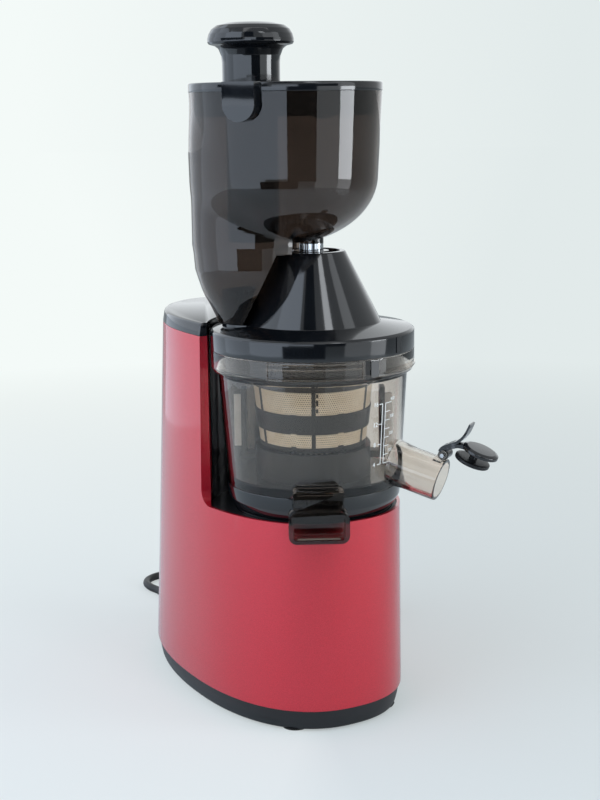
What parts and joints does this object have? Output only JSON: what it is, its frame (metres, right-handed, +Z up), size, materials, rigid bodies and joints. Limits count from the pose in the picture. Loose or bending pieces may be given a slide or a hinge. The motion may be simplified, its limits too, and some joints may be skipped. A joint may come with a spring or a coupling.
{
  "type": "cold press juicer",
  "caption": "Vertical cold press juicer: motor base with rear column, clear juice bowl with spouts, cone lid, smoked feed hopper with pusher, and a mains cord.",
  "frame": {"origin": "on the floor, on the vertical drive axis of bowl and auger", "axes": "+Z up, -Y towards the front of the machine, +Y towards the rear column"},
  "size_m": [0.2474, 0.4662, 0.5168],
  "materials": {
    "red_paint": "metallic gloss",
    "black_gloss": "gloss",
    "black_plastic": "satin",
    "black_rubber": "matte",
    "cord_black": "satin",
    "steel": "brushed",
    "chrome": "polished",
    "copper": "enamelled wire",
    "brass": "machined",
    "aluminium": "cast",
    "circuit_board": "satin",
    "white_plastic": "satin",
    "silicone": "matte",
    "silicone_dark": "matte",
    "smoke_clear": "clear smoke plastic",
    "smoke_dark": "dark smoke plastic",
    "mesh_gold": "etched mesh",
    "auger_grey": "satin"
  },
  "bodies": {
    "base": {"body_shell": "red_paint", "recess_liner": "black_gloss", "column_cap": "black_gloss", "deck_plate": "black_plastic", "plinth": "black_plastic", "rubber_feet": "black_rubber", "base_screws": "steel", "motor_stator": "steel", "motor_windings": "copper", "motor_frame": "aluminium", "motor_mounts": "black_rubber", "gearbox_housing": "aluminium", "gearbox_cover": "aluminium", "gearbox_screws": "steel", "drive_bearings": "steel", "shaft_seal": "black_rubber", "control_board": "circuit_board", "run_capacitor": "aluminium", "safety_switch": "black_plastic", "switch_bezel": "black_plastic", "cord_gland": "black_rubber", "power_cord": "cord_black", "cord_coil": "cord_black", "plug_body": "black_rubber", "plug_pins": "brass", "intermediate_spindle": "steel"},
    "switch_rocker": {"rocker": "black_gloss"},
    "motor_rotor": {"motor_rotor": "steel", "motor_fan": "white_plastic", "motor_pinion": "brass"},
    "intermediate_wheel": {"intermediate_gear": "white_plastic"},
    "drive": {"output_gear": "brass", "drive_shaft": "steel"},
    "bowl": {"bowl_base": "black_gloss", "juice_bowl": "smoke_clear", "bowl_bush": "white_plastic", "bowl_seal": "silicone", "pulp_spout": "smoke_dark", "pulp_plug": "silicone_dark", "cap_hinge_pin": "steel", "strainer_frame": "black_plastic", "strainer_mesh": "mesh_gold"},
    "spout_cap": {"spout_cap": "black_gloss", "cap_seal": "silicone_dark"},
    "idler": {"idler_gear": "white_plastic"},
    "wiper": {"wiper_ring": "black_plastic", "wiper_blades": "silicone"},
    "auger": {"auger": "auger_grey", "auger_socket": "steel", "sun_gear": "white_plastic"},
    "lid": {"bowl_lid": "black_gloss", "lid_seal": "silicone", "lid_bush": "steel"},
    "hopper": {"hopper": "smoke_dark", "hopper_pin": "chrome"},
    "hopper_lid": {"hopper_lid": "black_gloss"},
    "pusher": {"pusher_stem": "black_gloss", "pusher_knob": "black_gloss"}
  },
  "joints": [
    {"name": "rocker_tilt", "type": "hinge", "parent": "base", "child": "switch_rocker", "pos_m": [0, 0.20341, 0.07763], "axis": [1, 0, 0], "range_deg": [-8, 8]},
    {"name": "drive_spin", "type": "hinge", "parent": "base", "child": "drive", "pos_m": [0, 0, 0.14], "axis": [0, 0, 1], "continuous": true},
    {"name": "intermediate_spin", "type": "hinge", "parent": "base", "child": "intermediate_wheel", "pos_m": [0, 0.04688, 0.125], "axis": [0, 0, 1], "continuous": true},
    {"name": "motor_spin", "type": "hinge", "parent": "base", "child": "motor_rotor", "pos_m": [0, 0.08438, 0.07], "axis": [0, 0, 1], "continuous": true},
    {"name": "bowl_lift", "type": "slide", "parent": "base", "child": "bowl", "axis": [0, 0, 1], "range_m": [0, 0.2]},
    {"name": "cap_hinge", "type": "hinge", "parent": "bowl", "child": "spout_cap", "pos_m": [0.06172, -0.08495, 0.20733], "axis": [0.809, 0.5878, 0], "range_deg": [0, 83]},
    {"name": "auger_spin", "type": "hinge", "parent": "bowl", "child": "auger", "pos_m": [0, 0, 0.21], "axis": [0, 0, 1], "continuous": true},
    {"name": "idler_spin", "type": "hinge", "parent": "bowl", "child": "idler", "pos_m": [0.01312, 0.02273, 0.2035], "axis": [0, 0, 1], "continuous": true},
    {"name": "wiper_spin", "type": "hinge", "parent": "bowl", "child": "wiper", "pos_m": [0, 0, 0.2035], "axis": [0, 0, 1], "continuous": true},
    {"name": "lid_twist", "type": "hinge", "parent": "bowl", "child": "lid", "pos_m": [0, 0, 0.288], "axis": [0, 0, 1], "range_deg": [0, 30]},
    {"name": "hopper_lift", "type": "slide", "parent": "lid", "child": "hopper", "axis": [0, 0, 1], "range_m": [0, 0.12]},
    {"name": "hopper_lid_lift", "type": "slide", "parent": "hopper", "child": "hopper_lid", "axis": [0, 0, 1], "range_m": [0, 0.06]},
    {"name": "pusher_slide", "type": "slide", "parent": "hopper_lid", "child": "pusher", "axis": [0, 0, 1], "range_m": [0, 0.11]}
  ],
  "couplings": [
    {"joint": "intermediate_spin", "follows": "drive_spin", "ratio": -4},
    {"joint": "motor_spin", "follows": "drive_spin", "ratio": 16},
    {"joint": "auger_spin", "follows": "drive_spin", "ratio": 1},
    {"joint": "idler_spin", "follows": "drive_spin", "ratio": -1.3333},
    {"joint": "wiper_spin", "follows": "drive_spin", "ratio": -0.4}
  ]
}
